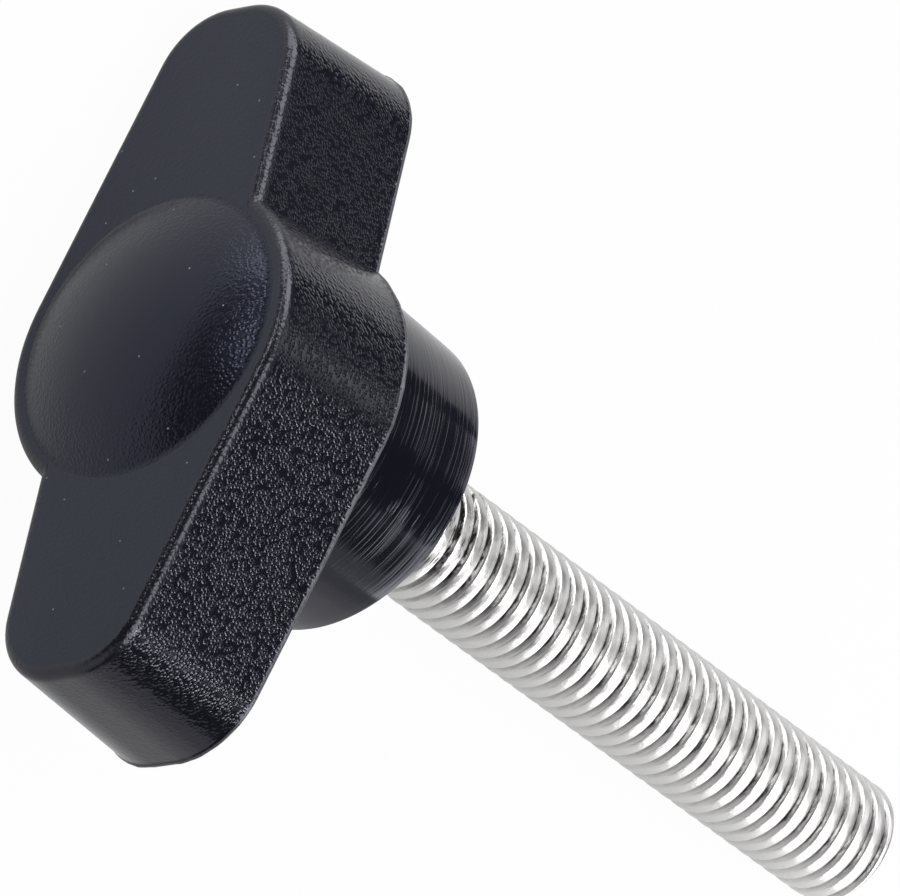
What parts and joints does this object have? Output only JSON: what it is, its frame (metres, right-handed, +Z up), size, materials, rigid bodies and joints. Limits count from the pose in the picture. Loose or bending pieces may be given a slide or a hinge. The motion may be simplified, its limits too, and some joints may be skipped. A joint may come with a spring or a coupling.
{
  "type": "thumb screw",
  "caption": "M5 thumb screw: black moulded S-shaped wing grip with a domed hub and a round boss, on a long steel thread.",
  "frame": {"origin": "centre of the footprint, on the surface that the screw lies on", "axes": "+Z up, +X along the screw towards its tip (the screw's own axis dips 6.7 degrees below +X), +Y across, on the side of the wing whose straight edge lies on the surface"},
  "size_m": [0.0426, 0.0266, 0.0133],
  "materials": {
    "grip_plastic": "black moulded thermoset plastic, satin on the face, spark-eroded grain on the side walls, turned gloss on the boss",
    "screw_steel": "bright zinc-plated steel with a rolled thread"
  },
  "bodies": {
    "root": {"grip": "grip_plastic", "screw": "screw_steel"}
  },
  "joints": []
}
